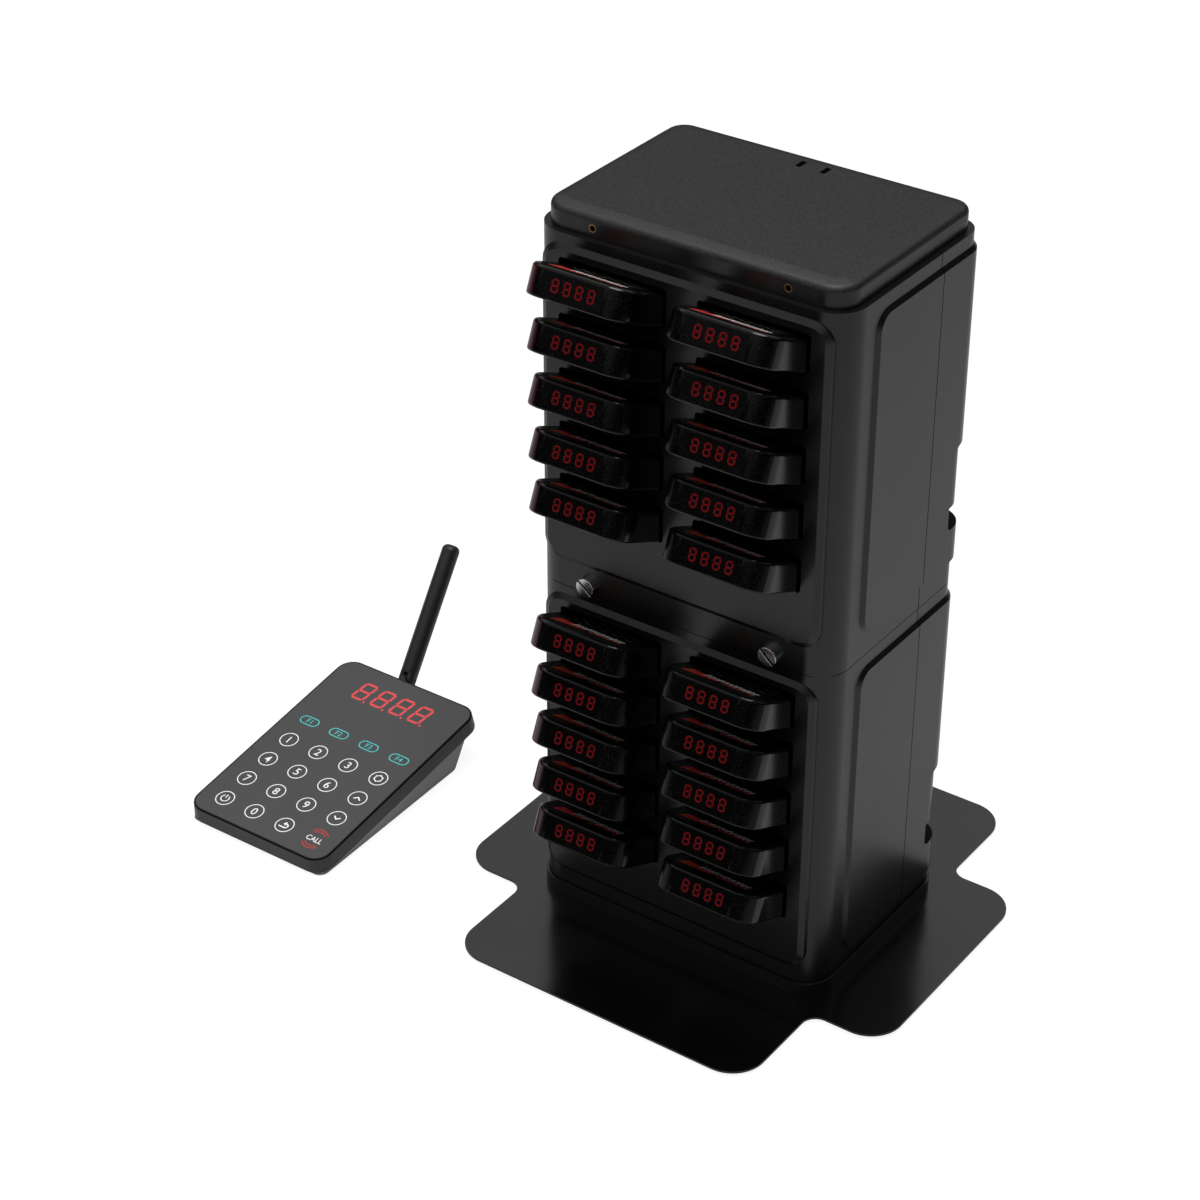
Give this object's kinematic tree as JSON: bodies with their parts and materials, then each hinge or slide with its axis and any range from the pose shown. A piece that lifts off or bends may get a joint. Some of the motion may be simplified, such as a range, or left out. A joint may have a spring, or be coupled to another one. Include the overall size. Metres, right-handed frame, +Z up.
{
  "type": "guest pager system",
  "caption": "Stacked charging towers on a steel plate, with slim pagers in tilted pockets, and a keypad transmitter with a folding antenna beside them.",
  "frame": {"origin": "on the underside, at the middle of the base plate", "axes": "+Z up; -Y is the side that the pagers face; +X is the viewer's right when facing the pagers; the transmitter stands at -X"},
  "size_m": [0.4061, 0.2652, 0.3948],
  "materials": {
    "plate_steel": "dark satin",
    "rubber": "matte",
    "shell": "dark satin moulding",
    "steel": "bright",
    "brass": "turned",
    "circuit_board": "solder mask",
    "socket": "moulded",
    "light_pipe": "clear, smoked",
    "pager_case": "high gloss",
    "pager_window": "smoked, glossy",
    "transmitter_rim": "semi-gloss",
    "transmitter_case": "satin moulding",
    "touch_panel": "fine satin film",
    "antenna": "satin"
  },
  "bodies": {
    "tower": {"base_pad": "rubber", "base_plate": "plate_steel", "base_collar": "shell", "base_screws": "steel", "lower_front_housing": "shell", "lower_rear_cover": "shell", "upper_front_housing": "shell", "upper_rear_cover": "shell", "charging_boards": "circuit_board", "power_jacks": "socket", "link_screws": "steel", "threaded_inserts": "brass", "status_lights": "light_pipe"},
    "pager_01": {"pager_01_case": "pager_case", "pager_01_window": "pager_window"},
    "pager_02": {"pager_02_case": "pager_case", "pager_02_window": "pager_window"},
    "pager_03": {"pager_03_case": "pager_case", "pager_03_window": "pager_window"},
    "pager_04": {"pager_04_case": "pager_case", "pager_04_window": "pager_window"},
    "pager_05": {"pager_05_case": "pager_case", "pager_05_window": "pager_window"},
    "pager_06": {"pager_06_case": "pager_case", "pager_06_window": "pager_window"},
    "pager_07": {"pager_07_case": "pager_case", "pager_07_window": "pager_window"},
    "pager_08": {"pager_08_case": "pager_case", "pager_08_window": "pager_window"},
    "pager_09": {"pager_09_case": "pager_case", "pager_09_window": "pager_window"},
    "pager_10": {"pager_10_case": "pager_case", "pager_10_window": "pager_window"},
    "pager_11": {"pager_11_case": "pager_case", "pager_11_window": "pager_window"},
    "pager_12": {"pager_12_case": "pager_case", "pager_12_window": "pager_window"},
    "pager_13": {"pager_13_case": "pager_case", "pager_13_window": "pager_window"},
    "pager_14": {"pager_14_case": "pager_case", "pager_14_window": "pager_window"},
    "pager_15": {"pager_15_case": "pager_case", "pager_15_window": "pager_window"},
    "pager_16": {"pager_16_case": "pager_case", "pager_16_window": "pager_window"},
    "pager_17": {"pager_17_case": "pager_case", "pager_17_window": "pager_window"},
    "pager_18": {"pager_18_case": "pager_case", "pager_18_window": "pager_window"},
    "pager_19": {"pager_19_case": "pager_case", "pager_19_window": "pager_window"},
    "pager_20": {"pager_20_case": "pager_case", "pager_20_window": "pager_window"},
    "transmitter": {"transmitter_upper_case": "transmitter_rim", "transmitter_lower_case": "transmitter_case", "transmitter_touch_panel": "touch_panel", "transmitter_board": "circuit_board", "transmitter_feet": "rubber"},
    "antenna_coupling": {"antenna_base": "antenna"},
    "antenna": {"antenna_whip": "antenna"}
  },
  "joints": [
    {"name": "pager_01_pull", "type": "slide", "parent": "tower", "child": "pager_01", "axis": [0, -0.91, 0.4147], "range_m": [0, 0.05]},
    {"name": "pager_02_pull", "type": "slide", "parent": "tower", "child": "pager_02", "axis": [0, -0.91, 0.4147], "range_m": [0, 0.05]},
    {"name": "pager_03_pull", "type": "slide", "parent": "tower", "child": "pager_03", "axis": [0, -0.91, 0.4147], "range_m": [0, 0.05]},
    {"name": "pager_04_pull", "type": "slide", "parent": "tower", "child": "pager_04", "axis": [0, -0.91, 0.4147], "range_m": [0, 0.05]},
    {"name": "pager_05_pull", "type": "slide", "parent": "tower", "child": "pager_05", "axis": [0, -0.91, 0.4147], "range_m": [0, 0.05]},
    {"name": "pager_06_pull", "type": "slide", "parent": "tower", "child": "pager_06", "axis": [0, -0.91, 0.4147], "range_m": [0, 0.05]},
    {"name": "pager_07_pull", "type": "slide", "parent": "tower", "child": "pager_07", "axis": [0, -0.91, 0.4147], "range_m": [0, 0.05]},
    {"name": "pager_08_pull", "type": "slide", "parent": "tower", "child": "pager_08", "axis": [0, -0.91, 0.4147], "range_m": [0, 0.05]},
    {"name": "pager_09_pull", "type": "slide", "parent": "tower", "child": "pager_09", "axis": [0, -0.91, 0.4147], "range_m": [0, 0.05]},
    {"name": "pager_10_pull", "type": "slide", "parent": "tower", "child": "pager_10", "axis": [0, -0.91, 0.4147], "range_m": [0, 0.05]},
    {"name": "pager_11_pull", "type": "slide", "parent": "tower", "child": "pager_11", "axis": [0, -0.91, 0.4147], "range_m": [0, 0.05]},
    {"name": "pager_12_pull", "type": "slide", "parent": "tower", "child": "pager_12", "axis": [0, -0.91, 0.4147], "range_m": [0, 0.05]},
    {"name": "pager_13_pull", "type": "slide", "parent": "tower", "child": "pager_13", "axis": [0, -0.91, 0.4147], "range_m": [0, 0.05]},
    {"name": "pager_14_pull", "type": "slide", "parent": "tower", "child": "pager_14", "axis": [0, -0.91, 0.4147], "range_m": [0, 0.05]},
    {"name": "pager_15_pull", "type": "slide", "parent": "tower", "child": "pager_15", "axis": [0, -0.91, 0.4147], "range_m": [0, 0.05]},
    {"name": "pager_16_pull", "type": "slide", "parent": "tower", "child": "pager_16", "axis": [0, -0.91, 0.4147], "range_m": [0, 0.05]},
    {"name": "pager_17_pull", "type": "slide", "parent": "tower", "child": "pager_17", "axis": [0, -0.91, 0.4147], "range_m": [0, 0.05]},
    {"name": "pager_18_pull", "type": "slide", "parent": "tower", "child": "pager_18", "axis": [0, -0.91, 0.4147], "range_m": [0, 0.05]},
    {"name": "pager_19_pull", "type": "slide", "parent": "tower", "child": "pager_19", "axis": [0, -0.91, 0.4147], "range_m": [0, 0.05]},
    {"name": "pager_20_pull", "type": "slide", "parent": "tower", "child": "pager_20", "axis": [0, -0.91, 0.4147], "range_m": [0, 0.05]},
    {"name": "transmitter_lift", "type": "slide", "parent": "tower", "child": "transmitter", "axis": [0, 0, 1], "range_m": [0, 0.12]},
    {"name": "antenna_swivel", "type": "hinge", "parent": "transmitter", "child": "antenna_coupling", "pos_m": [-0.2378, 0.02052, 0.02696], "axis": [0, 0.9895, 0.1444], "range_deg": [-90, 90]},
    {"name": "antenna_fold", "type": "hinge", "parent": "antenna_coupling", "child": "antenna", "pos_m": [-0.2378, 0.02052, 0.02696], "axis": [1, 0, 0], "range_deg": [-48, 41]}
  ]
}
